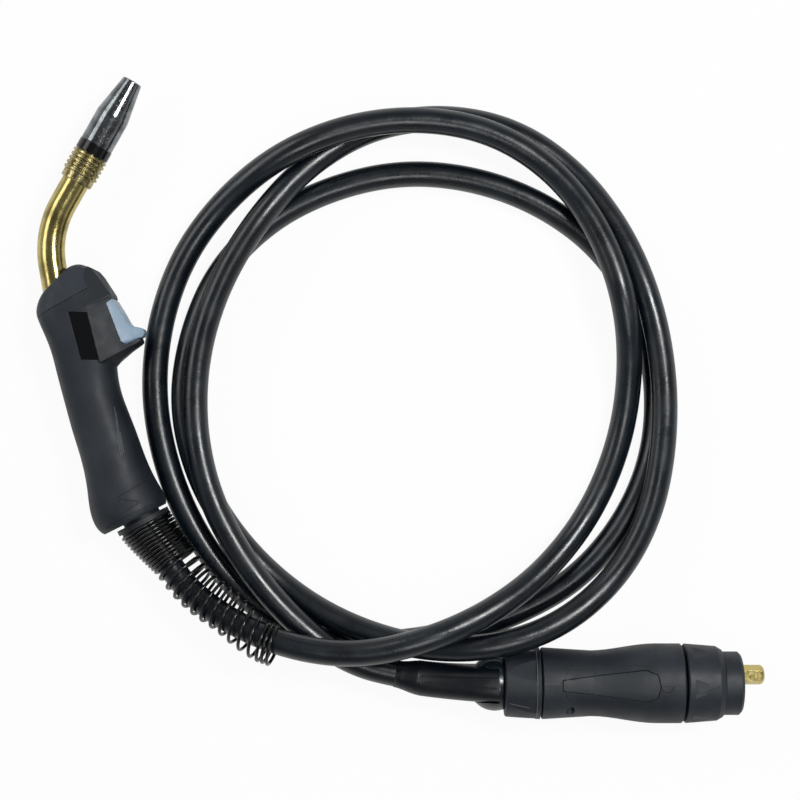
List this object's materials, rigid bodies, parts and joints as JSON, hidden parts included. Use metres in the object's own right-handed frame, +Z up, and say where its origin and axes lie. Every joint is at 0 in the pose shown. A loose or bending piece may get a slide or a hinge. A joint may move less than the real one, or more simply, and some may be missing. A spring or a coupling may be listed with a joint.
{
  "type": "mig welding torch",
  "caption": "Gas-cooled welding torch with a swan neck, sprung trigger handle, strain relief spring and a coiled cable ending in a central adaptor plug.",
  "frame": {"origin": "on the floor, under the middle of the torch itself without its cable and plug", "axes": "+Z up from the floor, +Y along the torch towards its nozzle, +X towards the coiled cable"},
  "size_m": [0.462, 0.4109, 0.0554],
  "materials": {
    "chrome": "polished chrome",
    "brass": "polished brass",
    "copper": "bare copper alloy",
    "steel": "bright steel",
    "black_insulator": "gloss black heat resistant plastic",
    "inner_plastic": "natural insulating plastic",
    "handle_plastic": "matte charcoal plastic",
    "frame_plastic": "matte charcoal plastic",
    "trigger_plastic": "satin light blue grey plastic",
    "label": "gloss black blank field",
    "cable_rubber": "satin black rubber",
    "spring_wire": "gloss black coated wire",
    "plug_plastic": "matte black grey plastic",
    "wire_sleeve": "coloured wire sleeve"
  },
  "bodies": {
    "torch": {"bend_sleeve": "cable_rubber", "cable": "cable_rubber", "cable_gland": "plug_plastic", "cable_support": "cable_rubber", "contact_barrels": "brass", "contact_springs": "steel", "contact_tip": "copper", "control_leads": "wire_sleeve", "front_crimp": "copper", "gas_diffuser": "inner_plastic", "grip_inlay_lower": "plug_plastic", "grip_inlay_upper": "plug_plastic", "gun_pin": "brass", "handle_lower_shell": "handle_plastic", "handle_screws": "steel", "handle_upper_shell": "handle_plastic", "housing_left": "plug_plastic", "housing_right": "plug_plastic", "housing_screws": "steel", "label_plate_lower": "label", "label_plate_upper": "label", "liner_nut": "brass", "micro_switch": "black_insulator", "neck_core": "copper", "neck_head": "brass", "neck_insulation": "inner_plastic", "neck_nut": "brass", "neck_socket": "brass", "nose_cap": "handle_plastic", "plug_body": "plug_plastic", "power_block": "brass", "power_lead": "copper", "rear_collar": "plug_plastic", "rear_crimp": "copper", "rear_lock_ring": "plug_plastic", "retaining_ring": "steel", "spring_carrier": "plug_plastic", "strain_relief_spring": "spring_wire", "swan_neck": "brass", "switch_leads": "wire_sleeve", "tip_holder": "copper", "trigger_frame": "frame_plastic", "trigger_pin": "steel", "wire_liner": "inner_plastic"},
    "gas_nozzle_body": {"gas_nozzle": "chrome", "nozzle_insulator": "black_insulator"},
    "trigger_body": {"trigger": "trigger_plastic"},
    "button_body": {"switch_button": "wire_sleeve"},
    "nut_body": {"adaptor_nut": "plug_plastic"},
    "upper_contact_body": {"contact_pin_upper": "brass"},
    "lower_contact_body": {"contact_pin_lower": "brass"}
  },
  "joints": [
    {"name": "nozzle_pull", "type": "slide", "parent": "torch", "child": "gas_nozzle_body", "axis": [0.493, 0.87, 0], "range_m": [0, 0.02]},
    {"name": "trigger_hinge", "type": "hinge", "parent": "torch", "child": "trigger_body", "pos_m": [-0.03484, 0.04345, 0.0235], "axis": [0, 0, 1], "range_deg": [-5, 0], "stiffness_Nm_per_rad": 0.6, "springref_deg": 3.44},
    {"name": "button_press", "type": "slide", "parent": "torch", "child": "button_body", "axis": [-0.944, -0.33, 0], "range_m": [0, 0.00142]},
    {"name": "nut_turn", "type": "hinge", "parent": "torch", "child": "nut_body", "pos_m": [0.3455, -0.19945, 0.0257], "axis": [1, 0, 0], "continuous": true},
    {"name": "upper_contact_press", "type": "slide", "parent": "torch", "child": "upper_contact_body", "axis": [-1, 0, 0], "range_m": [0, 0.0025], "stiffness_N_per_m": 400, "springref_m": -0.002},
    {"name": "lower_contact_press", "type": "slide", "parent": "torch", "child": "lower_contact_body", "axis": [-1, 0, 0], "range_m": [0, 0.0025], "stiffness_N_per_m": 400, "springref_m": -0.002}
  ],
  "couplings": [
    {"joint": "button_press", "follows": "trigger_hinge", "m_per_rad": -0.0162}
  ]
}
